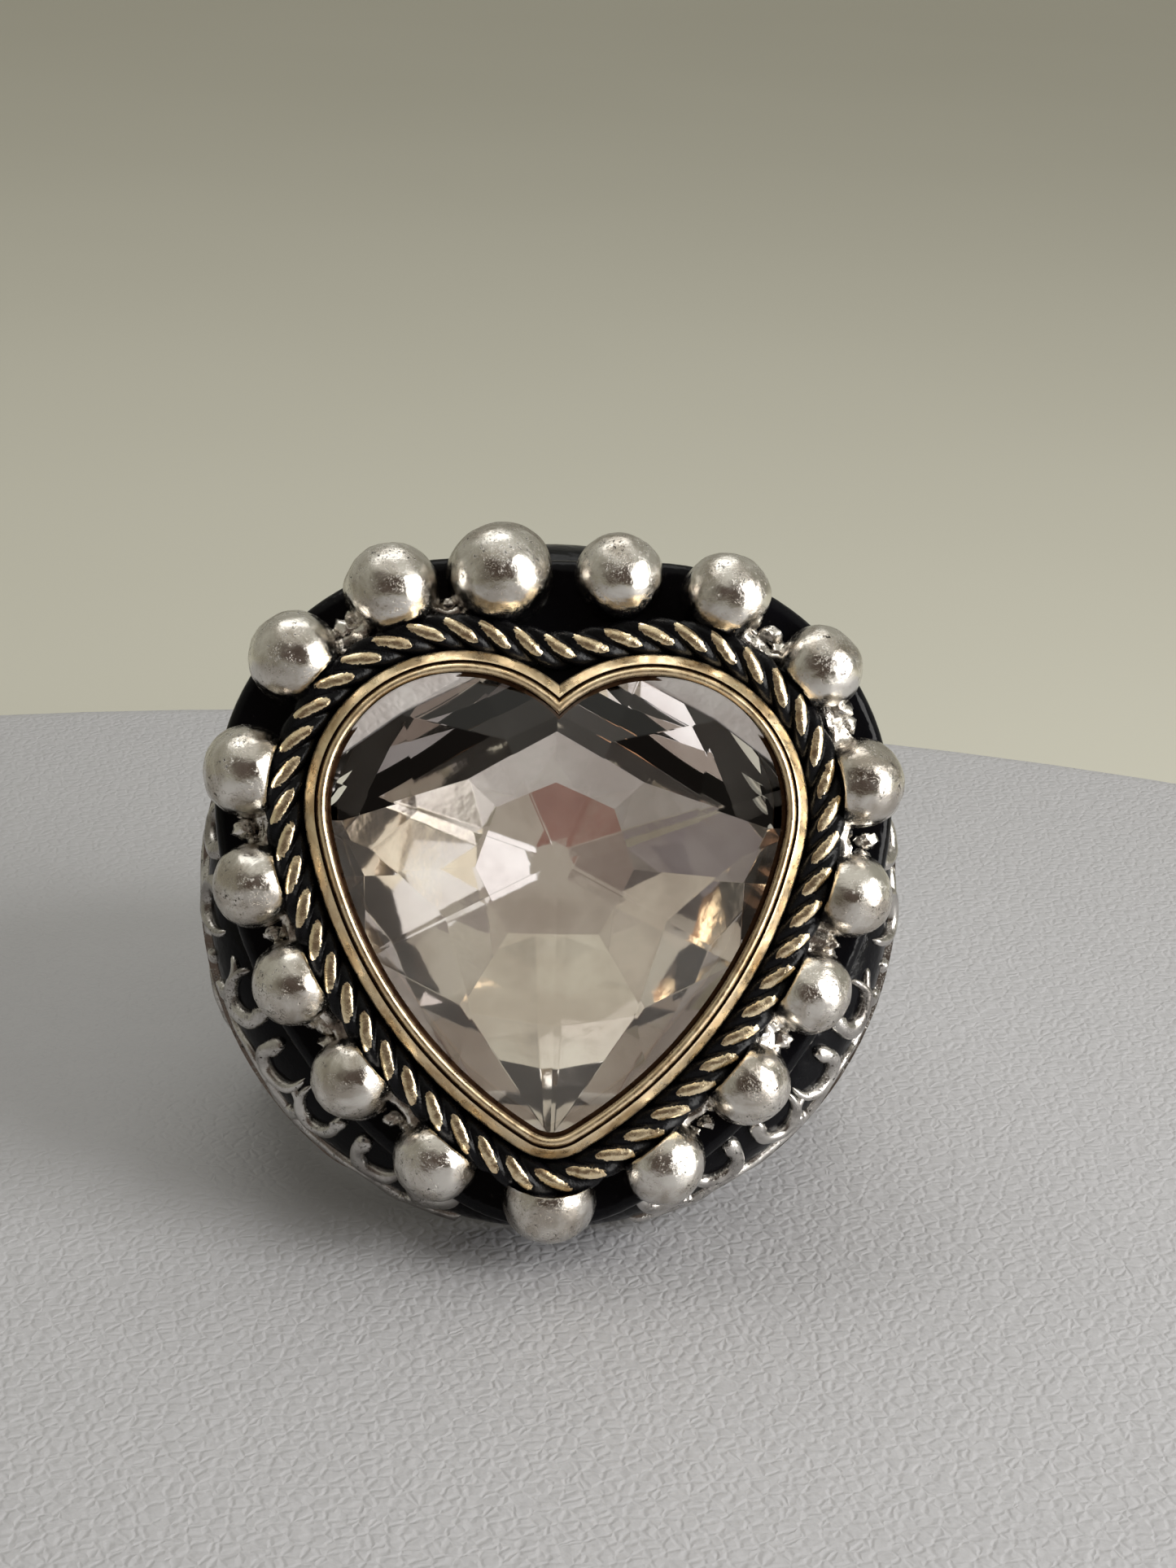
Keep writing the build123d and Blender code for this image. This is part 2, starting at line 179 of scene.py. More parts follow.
class Nodes:
    """A material's node tree, with short calls to add nodes to it."""

    def __init__(self, name):
        self.material = bpy.data.materials.new(name)
        self.material.use_nodes = True
        self.tree = self.material.node_tree
        self.shader = self.tree.nodes["Principled BSDF"]
        self.coords = self.add("ShaderNodeTexCoord").outputs["Object"]

    def add(self, kind, **values):
        node = self.tree.nodes.new(kind)
        for key, value in values.items():
            setattr(node, key, value)
        return node

    def link(self, source, target):
        self.tree.links.new(source, target)

    def noise(self, size_mm, detail=4.0, roughness=0.55, distortion=0.0):
        node = self.add("ShaderNodeTexNoise")
        node.inputs["Scale"].default_value = 1 / (size_mm * MM)
        node.inputs["Detail"].default_value = detail
        node.inputs["Roughness"].default_value = roughness
        node.inputs["Distortion"].default_value = distortion
        self.link(self.coords, node.inputs["Vector"])
        return node.outputs["Fac"]

    def creases(self, size_mm, stir_mm):
        """Distance from the edges of an uneven network of cells."""
        drift = self.add("ShaderNodeTexNoise")
        drift.inputs["Scale"].default_value = 0.6 / (size_mm * MM)
        self.link(self.coords, drift.inputs["Vector"])
        shift = self.add("ShaderNodeVectorMath", operation="MULTIPLY_ADD")
        shift.inputs[1].default_value = (stir_mm * MM,) * 3
        self.link(drift.outputs["Color"], shift.inputs[0])
        self.link(self.coords, shift.inputs[2])
        node = self.add("ShaderNodeTexVoronoi", feature="DISTANCE_TO_EDGE")
        node.inputs["Scale"].default_value = 1 / (size_mm * MM)
        self.link(shift.outputs[0], node.inputs["Vector"])
        return node.outputs["Distance"]

    def attribute(self, name):
        return self.add("ShaderNodeAttribute", attribute_name=name).outputs["Fac"]

    def ramp(self, source, low, high, low_value=0.0, high_value=1.0):
        node = self.add("ShaderNodeMapRange", interpolation_type="SMOOTHSTEP")
        node.inputs["From Min"].default_value = low
        node.inputs["From Max"].default_value = high
        node.inputs["To Min"].default_value = low_value
        node.inputs["To Max"].default_value = high_value
        self.link(source, node.inputs["Value"])
        return node.outputs["Result"]

    def math(self, operation, first, second):
        node = self.add("ShaderNodeMath", operation=operation)
        for socket, value in zip(node.inputs, (first, second)):
            if isinstance(value, (int, float)):
                socket.default_value = value
            else:
                self.link(value, socket)
        return node.outputs[0]

    def mix(self, share, first, second):
        node = self.add("ShaderNodeMix", data_type="RGBA")
        self.link(share, node.inputs["Factor"])
        for socket, value in ((node.inputs[6], first), (node.inputs[7], second)):
            if isinstance(value, tuple):
                socket.default_value = (*value, 1.0)
            else:
                self.link(value, socket)
        return node.outputs[2]

    def bump(self, height, depth_mm, strength=1.0, under=None):
        node = self.add("ShaderNodeBump")
        node.inputs["Distance"].default_value = depth_mm * MM
        node.inputs["Strength"].default_value = strength
        self.link(height, node.inputs["Height"])
        if under:
            self.link(under, node.inputs["Normal"])
        return node.outputs["Normal"]

    def finish(self, colour=None, roughness=None, normal=None, metallic=None, **fixed):
        for name, source in (
            ("Base Color", colour), ("Roughness", roughness), ("Normal", normal), ("Metallic", metallic)
        ):
            if source is not None:
                self.link(source, self.shader.inputs[name])
        for name, value in fixed.items():
            self.shader.inputs[name.replace("_", " ")].default_value = value
        return self.material


def silver(name, bright, tarnish, wear=0.5, outer_wear=False):
    """Antique silver plate: bright where it is rubbed, grey-brown in patches, with small dark pits.

    With outer_wear, the mesh's outer value makes the sides away from the heart duller and more pitted.
    """
    n = Nodes(name)
    patches = n.ramp(n.noise(1.6, 5, 0.6, 0.4), 0.38, 0.68)
    stain = n.mix(n.math("MULTIPLY", patches, wear), bright, tarnish)
    speckle = n.ramp(n.noise(0.15, 4, 0.65), 0.58, 0.66)
    fine = n.ramp(n.noise(0.06, 3, 0.6), 0.57, 0.67)
    holes = n.ramp(n.noise(0.8, 3, 0.6), 0.42, 0.58)
    dull = n.ramp(n.noise(0.45, 5, 0.65), 0.35, 0.65, 0.15, 0.75)
    if outer_wear:
        outer = n.ramp(n.attribute("outer"), 0.3, 0.9)
        holes = n.math("MULTIPLY", holes, n.math("ADD", outer, 0.3))
        dull = n.math("MULTIPLY", dull, n.math("ADD", outer, 0.45))
    pits = n.math("MULTIPLY", n.math("MAXIMUM", speckle, n.math("MULTIPLY", fine, 0.5)), holes)
    colour = n.mix(pits, stain, (0.05, 0.045, 0.04))
    roughness = n.math("ADD", n.math("MULTIPLY", dull, 0.26), n.math("MULTIPLY", pits, 0.3))
    roughness = n.math("ADD", roughness, 0.05)
    dents = n.bump(n.noise(0.75, 3, 0.5), 0.04, 0.9)
    grain = n.bump(n.noise(0.12, 5, 0.7), 0.011, 0.9, dents)
    pitted = n.bump(n.math("SUBTRACT", 1.0, pits), 0.02, 1.0, grain)
    return n.finish(colour, roughness, pitted, Metallic=1.0)


def gold(name):
    """Champagne gold plate, worn brown in places, with fine ripples and the mesh's patina in its grooves."""
    n = Nodes(name)
    patches = n.ramp(n.noise(1.1, 5, 0.6, 0.5), 0.42, 0.72)
    colour = n.mix(patches, (0.94, 0.76, 0.5), (0.66, 0.47, 0.27))
    colour = n.mix(n.ramp(n.noise(0.25, 4, 0.6), 0.6, 0.74), colour, (1.0, 0.88, 0.65))
    ragged = n.math("ADD", n.attribute("patina"), n.ramp(n.noise(0.12, 4, 0.7), 0.25, 0.75, -0.25, 0.3))
    colour = n.mix(n.ramp(ragged, 0.35, 0.75), colour, (0.1, 0.055, 0.03))
    roughness = n.ramp(n.noise(0.3, 4, 0.6), 0.3, 0.7, 0.22, 0.42)
    ripple = n.bump(n.noise(0.35, 4, 0.6), 0.012, 0.9)
    grain = n.bump(n.noise(0.07, 3, 0.6), 0.003, 0.8, ripple)
    return n.finish(colour, roughness, grain, Metallic=1.0)


def dark_gold(name):
    """The unpolished inside of the setting, a grey-brown metal darker than the gold outside."""
    n = Nodes(name)
    colour = n.mix(n.noise(1.5, 3), (0.3, 0.28, 0.27), (0.42, 0.38, 0.34))
    return n.finish(colour, normal=n.bump(n.noise(0.5, 3, 0.5), 0.01), Metallic=1.0, Roughness=0.45)


def black_enamel(name):
    """Glossy black fill, pooled and slightly uneven."""
    n = Nodes(name)
    dust = n.ramp(n.noise(0.2, 4, 0.7), 0.62, 0.8)
    colour = n.mix(dust, (0.003, 0.003, 0.004), (0.02, 0.018, 0.016))
    roughness = n.ramp(n.noise(0.6, 4, 0.6), 0.3, 0.7, 0.06, 0.2)
    pooled = n.bump(n.noise(0.5, 3, 0.5), 0.05, 0.7)
    return n.finish(colour, roughness, pooled, Specular_IOR_Level=0.1)


def rope_metal(name):
    """Gold on the rope's rubbed crests and black enamel between them, from the mesh's crest value."""
    n = Nodes(name)
    ragged = n.math("ADD", n.attribute("crest"), n.ramp(n.noise(0.16, 4, 0.65), 0.2, 0.8, -0.3, 0.3))
    share = n.ramp(ragged, 0.45, 0.55)
    worn = n.mix(n.ramp(n.noise(0.35, 4, 0.6), 0.45, 0.75), (1.0, 0.84, 0.57), (0.7, 0.51, 0.3))
    colour = n.mix(share, (0.003, 0.003, 0.004), worn)
    roughness = n.ramp(n.noise(0.2, 4, 0.6), 0.3, 0.7, 0.14, 0.34)
    grain = n.bump(n.noise(0.16, 4, 0.6), 0.02, 1.0)
    return n.finish(colour, roughness, grain, metallic=share, Specular_IOR_Level=0.15)


def crystal(name):
    """Clear lead glass with a faint warm tint and a few rub marks."""
    n = Nodes(name)
    rubs = n.ramp(n.noise(0.5, 6, 0.7), 0.62, 0.8, 0.0, 0.08)
    return n.finish(
        roughness=rubs, Transmission_Weight=1.0, IOR=1.56, Base_Color=(1.0, 0.985, 0.97, 1.0)
    )


def foil(name):
    """Mirror foil behind the stone, a little milky with age, with a soft crinkle."""
    n = Nodes(name)
    colour = n.mix(n.ramp(n.noise(2.5, 3, 0.5), 0.35, 0.65), (0.86, 0.82, 0.78), (0.7, 0.64, 0.6))
    crinkle = n.bump(n.noise(1.0, 3, 0.5), 0.01, 0.5)
    return n.finish(colour, normal=crinkle, Metallic=0.85, Roughness=0.06)


def cement(name):
    """Pale, grainy jeweller's cement."""
    n = Nodes(name)
    colour = n.mix(n.noise(0.8, 4, 0.6), (0.6, 0.56, 0.48), (0.75, 0.7, 0.6))
    return n.finish(colour, normal=n.bump(n.noise(0.4, 4, 0.6), 0.05), Roughness=0.7)


# ---------------------------------------------------------------- mesh helpers


def add_piece(name, points, faces, material, slot, replaces=(), smooth=35.0, values=None):
    """A mesh piece from points in the ring's frame, riding on the ring."""
    mesh = bpy.data.meshes.new(name)
    mesh.from_pydata([ring_to_row @ Vector(p) for p in points], [], faces)
    mesh.validate()
    mesh.update()
    if smooth is None:
        mesh.shade_flat()
    else:
        mesh.shade_smooth()
        mesh.set_sharp_from_angle(angle=math.radians(smooth))
    for key, numbers in (values or {}).items():
        mesh.attributes.new(key, "FLOAT", "POINT").data.foreach_set("value", numbers)
    mesh.materials.append(material)
    piece = bpy.data.objects.new(name, mesh)
    bpy.context.scene.collection.objects.link(piece)
    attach(piece, "root")
    if replaces:
        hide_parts(*replaces)
    return piece


def grid_faces(rows, columns, close_rows=True, close_columns=True):
    """Quads between the points of a grid, listed row by row."""
    faces = []
    for i in range(rows if close_rows else rows - 1):
        for j in range(columns if close_columns else columns - 1):
            here, after = i * columns, (i + 1) % rows * columns
            beside = (j + 1) % columns
            faces.append((here + j, after + j, after + beside, here + beside))
    return faces


def smoothstep(low, high, value):
    share = min(1.0, max(0.0, (value - low) / (high - low)))
    return share * share * (3 - 2 * share)


# ---------------------------------------------------------------- heart outline

FLANK = (
    LOBE[0] - (FLANK_RADIUS - LOBE_RADIUS) * math.cos(LOBE_END),
    LOBE[1] - (FLANK_RADIUS - LOBE_RADIUS) * math.sin(LOBE_END),
)
TIP_Y = FLANK[1] - math.sqrt((FLANK_RADIUS - TIP_RADIUS) ** 2 - FLANK[0] ** 2)
TIP_END = math.atan2(TIP_Y - FLANK[1], -FLANK[0])


def arc(centre, radius, start, end, steps):
    """Points along an arc, with its first point and without its last."""
    angles = [start + (end - start) * i / steps for i in range(steps)]
    return [(centre[0] + radius * math.cos(a), centre[1] + radius * math.sin(a)) for a in angles]


def heart(gap, detail=1.0):
    """Points round the heart at a gap outside the bezel's opening, counter-clockwise from the cleft."""
    lobe = LOBE_RADIUS + gap
    cleft = math.pi - math.acos(LOBE[0] / lobe)
    right = arc((0, TIP_Y), TIP_RADIUS + gap, -math.pi / 2, TIP_END, round(8 * detail))
    right += arc(FLANK, FLANK_RADIUS + gap, TIP_END, LOBE_END, round(60 * detail))
    right += arc(LOBE, lobe, LOBE_END, cleft, round(80 * detail))
    cleft_point = (0.0, LOBE[1] + lobe * math.sin(cleft))
    left = [(-x, y) for x, y in reversed(right[1:])]
    return [cleft_point, *left, *right]


def gap_at(x, y):
    """How far a point lies outside the bezel's opening, and the direction straight out from it."""
    side = 1 if x >= 0 else -1
    x = abs(x)
    turn = math.atan2(y - FLANK[1], x - FLANK[0])
    if turn > LOBE_END:
        centre, radius = LOBE, LOBE_RADIUS
    elif turn > TIP_END:
        centre, radius = FLANK, FLANK_RADIUS
    else:
        centre, radius = (0.0, TIP_Y), TIP_RADIUS
    away = Vector((x - centre[0], y - centre[1]))
    outward = away.normalized()
    return away.length - radius, Vector((side * outward.x, outward.y))


def even_points(points, count):
    """The same closed outline as evenly spaced points."""
    ring = [Vector(p) for p in points] + [Vector(points[0])]
    lengths = [(b - a).length for a, b in zip(ring, ring[1:])]
    step = sum(lengths) / count
    made, edge, done = [], 0, 0.0
    for i in range(count):
        while done + lengths[edge] < i * step:
            done += lengths[edge]
            edge += 1
        share = (i * step - done) / lengths[edge]
        made.append(ring[edge].lerp(ring[edge + 1], share))
    return made


# ---------------------------------------------------------------- bezel


def bezel(material):
    """The grooved rim, swept round the heart: sloping face, groove, rounded ridge, lip at the stone."""
    profile = list(BEZEL_OUTSIDE)
    for i in range(RIDGE_STEPS + 1):
        turn = math.pi * i / RIDGE_STEPS
        dark = 0.8 if i in (0, RIDGE_STEPS) else 0.0
        gap = RIDGE_GAP + RIDGE_HALF_WIDTH * math.cos(turn)
        profile.append((gap, RIDGE_HEIGHT + RIDGE_RISE * math.sin(turn), dark))
    profile += BEZEL_INSIDE
    rings = [heart(gap) for gap, _, _ in profile]
    points, patina = [], []
    for i in range(len(rings[0])):
        for ring, (_, height, dark) in zip(rings, profile):
            x, y = ring[i]
            wobble = BEZEL_WOBBLE * noise.noise(Vector((x * 0.9, y * 0.9, height * 2)))
            points.append((x, y, height + (wobble if height > BEZEL_EVEN_TO else 0)))
            patina.append(dark)
    faces = grid_faces(len(rings[0]), len(profile))
    return add_piece(
        "bezel_grooved_rim", points, faces, material, "antique_gold", ["bezel_rim"], 50, {"patina": patina}
    )


# ---------------------------------------------------------------- rope


def rope_line(count):
    """The rope's middle line: even steps round the heart, cutting across the cleft in a shallow bend."""
    line = even_points(heart(ROPE_GAP, 2.0), count)
    reach = round(CLEFT_BEND / (line[1] - line[0]).length)
    soft = line
    for _ in range(3):
        near = [[soft[(i + k) % count] for k in range(-reach, reach + 1)] for i in range(count)]
        soft = [sum(some, Vector((0, 0))) / len(some) for some in near]
    shares = [smoothstep(4.5, 2.5, abs(p.x)) * smoothstep(0.0, 3.0, p.y) for p in line]
    return [p.lerp(q, share) for p, q, share in zip(line, soft, shares)]


def rope(material):
    """A twisted border: round wires laid side by side round a core, their tops rubbed flat and gold."""
    along = ROPE_CRESTS * ROPE_STEPS
    around = ROPE_SIDES
    flat = ROPE_FLAT * ROPE_RADIUS
    line = rope_line(along)
    points, crests = [], []
    for i, place in enumerate(line):
        ahead = (line[(i + 1) % along] - line[i - 1]).normalized()
        outward = Vector((ahead.y, -ahead.x))
        twist = 2 * math.pi * ROPE_CRESTS * i / along
        for j in range(around):
            turn = 2 * math.pi * j / around
            phase = (ROPE_WIRES * turn + twist + math.pi) % (2 * math.pi) - math.pi
            radius = ROPE_RADIUS * (0.64 + 0.36 * math.cos(phase / 2) ** 0.8)
            spot = place + outward * radius * math.cos(turn)
            rise = radius * math.sin(turn)
            if rise > flat:
                rise = flat + ROPE_RUB * (rise - flat)
            rise += 0.03 * noise.noise(Vector((spot.x * 3, spot.y * 3, 0)))
            points.append((spot.x, spot.y, ROPE_HEIGHT + rise))
            across = (math.degrees(turn) - 84) / 40
            leaf = 0.62 * (1 - across * across) ** 0.7 if abs(across) < 1 else -1.0
            crests.append(0.5 + 2.2 * (leaf - abs(phase + 0.25) / math.pi))
    faces = [tuple(reversed(f)) for f in grid_faces(along, around)]
    return add_piece(
        "rope_twist", points, faces, material, "antique_gold", ["rope_strands"], 80, {"crest": crests}
    )


# ---------------------------------------------------------------- balls


def unit_ball(rings, sides):
    """A ball's directions: one at the top, rings downwards and one at the bottom, and its faces."""
    points = [Vector((0, 0, 1))]
    for i in range(1, rings):
        polar = math.pi * i / rings
        reach, height = math.sin(polar), math.cos(polar)
        for j in range(sides):
            turn = 2 * math.pi * j / sides
            points.append(Vector((reach * math.cos(turn), reach * math.sin(turn), height)))
    points.append(Vector((0, 0, -1)))
    last = len(points) - 1
    faces = []
    for j in range(sides):
        beside = (j + 1) % sides
        faces.append((0, 1 + j, 1 + beside))
        faces.append((last, last - sides + beside, last - sides + j))
    for i in range(rings - 2):
        for j in range(sides):
            beside = (j + 1) % sides
            low = 1 + (i + 1) * sides
            high = 1 + i * sides
            faces.append((high + j, low + j, low + beside, high + beside))
    return points, faces


def ball(number, x, y, radius):
    """A soldered ball: slightly dented, flared where it meets the plate, and cut back by the rope."""
    directions, faces = unit_ball(40, 64)
    points, outer = [], []
    _, away = gap_at(x, y)
    for direction in directions:
        seed = direction * 1.4 + Vector((number * 7.3, 0, 0))
        dent = 0.04 * noise.noise(seed) + 0.014 * noise.noise(seed * 3.1)
        spot = direction * radius * (1 + dent)
        height = BALL_HEIGHT + spot.z
        foot = smoothstep(PLATE_TOP + BALL_FOOT, PLATE_TOP, height)
        if spot.z < 0:
            level = radius * math.sqrt(max(0.0, 1 - (spot.z / radius) ** 2))
            spread = 1 + foot * 0.16 * radius / max(level, 0.3 * radius)
            spot = Vector((spot.x * spread, spot.y * spread, spot.z))
        height = max(height, PLATE_TOP - 0.1)
        px, py = x + spot.x, y + spot.y
        gap, outward = gap_at(px, py)
        if gap < ROPE_EDGE:
            px += outward.x * (ROPE_EDGE - gap)
            py += outward.y * (ROPE_EDGE - gap)
        points.append((px, py, height))
        outer.append(0.5 + 0.5 * (direction.x * away.x + direction.y * away.y))
    return points, faces, outer


def solder_web(start, end, seed, fullness):
    """Solder run between two neighbouring balls, close to the rope: an uneven saddle and a few lumps."""
    count, around = 26, 20
    points = []
    for i in range(count + 1):
        share = i / count
        middle = start.lerp(end, share)
        gap, outward = gap_at(*middle)
        spread = abs(2 * share - 1) ** 1.6
        half = fullness * (0.4 + 0.6 * spread)
        centre = middle + outward * (ROPE_EDGE - 0.1 + half * 0.7 - gap)
        tall = fullness * (0.4 + 0.65 * spread)
        for j in range(around):
            turn = 2 * math.pi * j / around
            across, up = math.cos(turn), math.sin(turn)
            swell = 1 + 0.75 * noise.noise(Vector((share * 6 + seed * 5.1, across * 1.2, up * 1.5)))
            swell += 0.3 * noise.noise(Vector((share * 17 + seed * 2.3, across * 3, up * 3)))
            spot = centre + outward * half * swell * across
            points.append((spot.x, spot.y, PLATE_TOP + tall * swell * up))
    faces = grid_faces(count + 1, around, close_rows=False)
    faces.append(tuple(reversed(range(around))))
    faces.append(tuple(range(count * around, (count + 1) * around)))
    lump_directions, lump_faces = unit_ball(10, 14)
    for k in range(3):
        place = start.lerp(end, 0.36 + 0.14 * k)
        gap, outward = gap_at(*place)
        drift = noise.noise(Vector((seed * 3.7, k * 4.1, 0.5)))
        place += outward * (ROPE_EDGE + 0.75 + 0.5 * drift - gap)
        size = fullness * (0.32 + 0.25 * noise.noise(Vector((seed * 1.9, k * 2.7, 3.5))))
        first = len(points)
        for direction in lump_directions:
            swell = 1 + 0.5 * noise.noise(direction * 1.6 + Vector((seed * 4.3, k * 6.1, 0)))
            spot = direction * size * swell
            points.append((place.x + spot.x * 1.3, place.y + spot.y, PLATE_TOP + spot.z * 0.9))
        faces += [tuple(first + m for m in f) for f in lump_faces]
    return points, faces


def balls(material):
    """All the balls, each joined to the next by a run of solder where one was left."""
    left = [(-x, y, radius) for x, y, radius, _ in BALL_PAIRS]
    right = [(x, y, radius) for x, y, _, radius in reversed(BALL_PAIRS)]
    places = [TIP_BALL, *left, *right]
    for number, (x, y, radius) in enumerate(places, start=1):
        points, faces, outer = ball(number, x, y, radius)
        next_x, next_y, _ = places[number % len(places)]
        if number in SOLDER_WEBS:
            web = solder_web(Vector((x, y)), Vector((next_x, next_y)), number, SOLDER_WEBS[number])
            faces += [tuple(len(points) + m for m in f) for f in web[1]]
            points += web[0]
            outer += [0.8] * len(web[0])
        add_piece(
            f"ball_{number:02d}", points, faces, material, "bright_silver", [f"bead_{number:02d}"], 60,
            {"outer": outer}
        )


# ---------------------------------------------------------------- scrollwork


def on_dome(around, down):
    """A place and its outward direction on the dome's slope: degrees round the head, millimetres down."""
    turn = math.radians(around)
    tilt = math.pi / 2 - down / SLOPE_RADIUS
    flat = Vector((math.cos(turn), math.sin(turn), 0))
    foot = HEAD_BASE + SLOPE_FOOT
    if tilt >= 0:
        normal = flat * math.cos(tilt) + Vector((0, 0, math.sin(tilt)))
        return flat * (HEAD_RADIUS - SLOPE_RADIUS) + Vector((0, 0, foot)) + normal * SLOPE_RADIUS, normal
    return flat * HEAD_RADIUS + Vector((0, 0, foot + tilt * SLOPE_RADIUS)), flat


def node_surface(name):
    """A CAD node's surface in the ring's frame, to lay pieces on."""
    mesh = frame["nodes"][name].data
    corners = [row_to_ring @ v.co for v in mesh.vertices]
    return BVHTree.FromPolygons(corners, [tuple(p.vertices) for p in mesh.polygons])


def scroll_line(x, y, start_radius, end_radius, start, sweep, steps=28):
    """Points of a curl whose radius changes along it."""
    points = []
    for i in range(steps + 1):
        share = i / steps
        turn = math.radians(start + sweep * share)
        radius = start_radius + (end_radius - start_radius) * share
        points.append(Vector((x + radius * math.cos(turn), y + radius * math.sin(turn))))
    return points


def ridge(line, width, rise, blob, place):
    """A rounded ridge along a flat line: thin at its start, with a blob at its end, laid on a surface."""
    count, across = len(line), 10
    points = []
    length = sum((b - a).length for a, b in zip(line, line[1:]))
    done = 0.0
    for i, centre in enumerate(line):
        if i:
            done += (centre - line[i - 1]).length
        ahead = (line[min(i + 1, count - 1)] - line[max(i - 1, 0)]).normalized()
        side = Vector((-ahead.y, ahead.x))
        share = done / length
        to_end = length - done
        body = width * (0.35 + 0.65 * math.sin(min(1.0, share * 1.6) * math.pi / 2))
        bulb = blob * math.sqrt(max(0.0, 1 - ((to_end - blob) / blob) ** 2)) if to_end < 2 * blob else 0.0
        ends = math.sqrt(max(0.0, min(1.0, done / (width * 0.7))))
        half = max(body * ends * (1.0 if to_end > blob else math.sqrt(max(0.0, to_end / blob))), bulb)
        tall = rise * min(1.0, half / width + 0.15) if half > 0 else 0.0
        for j in range(across + 1):
            turn = math.pi * j / across
            spot, normal = place(centre + side * half * math.cos(turn))
            lift = tall * math.sin(turn) ** 0.75 - 0.06
            lift += 0.03 * noise.noise(spot * 1.7) * math.sin(turn)
            points.append(spot + normal * lift)
    faces = [tuple(reversed(f)) for f in grid_faces(count, across + 1, close_rows=False)]
    faces.append(tuple(range(across + 1)))
    faces.append(tuple(reversed(range((count - 1) * (across + 1), count * (across + 1)))))
    return points, faces


def join(ridges):
    """The points and faces of several ridges as those of one mesh."""
    points, faces = [], []
    for some_points, some_faces in ridges:
        start = len(points)
        points += some_points
        faces += [tuple(start + k for k in f) for f in some_faces]
    return points, faces


def dome_ridges(angles, hand, down):
    """Curls along the dome's slope between two angles. hand is 1 on the left and -1 on the right."""
    degrees = 180 / math.pi / HEAD_RADIUS
    seed = 10 * hand

    def place(spot):
        drift = 0.16 * noise.noise(Vector((spot.x * 0.8, spot.y * 0.8, seed)))
        around = (spot.x + drift) * degrees
        return on_dome(around if hand > 0 else 180 - around, spot.y + 1.5 * drift)

    made = []
    low, high = angles
    steps = round((high - low) / DOME_CURL_STEP)
    for i in range(steps):
        middle = (low + (high - low) * (i + 0.5) / steps) / degrees
        flip = 1 if i % 2 else -1
        hook = scroll_line(middle, down, 1.2, 0.6, 90 - 110 * flip, 250 * flip)
        made.append(ridge(hook, 0.33, 0.4, 0.4, place))
        leaf = scroll_line(middle + 1.35 * flip, down + 1.3, 1.05, 0.5, 200 - 40 * flip, -190 * flip)
        made.append(ridge(leaf, 0.27, 0.32, 0.33, place))
    vine = []
    count = 10 * steps
    for i in range(count + 1):
        share = i / count
        along = (low + (high - low) * share) / degrees
        vine.append(Vector((along, down + 1.75 + 0.28 * math.sin(share * steps * math.pi))))
    made.append(ridge(vine, 0.24, 0.3, 0.3, place))
    return join(made)


def shoulder_ridges(hand):
    """Curls on one shoulder of the band. hand is -1 on the left and 1 on the right."""
    surface = node_surface("shank")

    def place(spot):
        hit, normal, _, _ = surface.ray_cast(Vector((hand * 20, spot.x, spot.y)), Vector((-hand, 0, 0)))
        return hit, normal

    made = []
    for x, y, start_radius, end_radius, start, sweep, width, blob in SHOULDER_CURLS:
        line = scroll_line(x, y, start_radius, end_radius, start, sweep, 44)
        made.append(ridge(line, width, SHOULDER_RISE, blob, place))
    return join(made)


def scrollwork(material):
    for side, hand in (("left", 1), ("right", -1)):
        for name, node, ridges in (
            ("lower", f"scroll_lower_{side}", dome_ridges(LOWER_SCROLLS[0], hand, LOWER_SCROLLS[1])),
            ("upper", f"scroll_upper_{side}", dome_ridges(UPPER_SCROLLS[0], hand, UPPER_SCROLLS[1])),
            ("shoulder", f"scroll_{side}_shoulder", shoulder_ridges(-hand)),
        ):
            add_piece(f"scrolls_{name}_{side}", *ridges, material, "antique_silver", [node], 70)


# ---------------------------------------------------------------- stone


def facet_planes(kites, ridges, side, point_height, rim_height, slope):
    """A point and the outward normal of each facet plane. side is 1 for the crown and -1 for the back."""

    def spot(azimuth, distance, height):
        angle = math.radians(azimuth)
        x, y = STONE_CENTRE
        return Vector((x + distance * math.cos(angle), y + distance * math.sin(angle), height))

    def on_kite(azimuth, distance, kite):
        fall = slope * distance * math.cos(math.radians(azimuth - kite))
        return spot(azimuth, distance, point_height - side * fall)

    def outward(first, second, third):
        normal = (second - first).cross(third - first).normalized()
        return first, normal if normal.z * side > 0 else -normal

    planes = []
    for i, (kite, tip) in enumerate(kites):
        next_kite, next_tip = kites[(i + 1) % len(kites)]
        ridge = ridges[i]
        azimuth = kite - ((kite - next_kite) % 360) / 2
        point = spot(0, 0, point_height)
        planes.append(outward(point, on_kite(kite - 1, tip, kite), on_kite(kite + 1, tip, kite)))
        ridge_end = on_kite(azimuth, ridge, kite)
        foot = spot(azimuth, ridge / RIDGE_SHARE, rim_height)
        planes.append(outward(ridge_end, foot, on_kite(kite, tip, kite)))
        planes.append(outward(ridge_end, foot, on_kite(next_kite, next_tip, next_kite)))
    return planes


def facet_heights(kites, ridges, side, point_height, rim_height, slope, lift=0.0):
    """Each facet plane as the three numbers of its height: along x, along y, and at the middle."""
    heights = []
    for middle, normal in facet_planes(kites, ridges, side, point_height, rim_height, slope):
        along_x, along_y = -normal.x / normal.z, -normal.y / normal.z
        heights.append((along_x, along_y, middle.z - along_x * middle.x - along_y * middle.y + lift))
    return heights


def height_at(heights, side, x, y):
    values = [a * x + b * y + c for a, b, c in heights]
    return min(values) if side > 0 else max(values)


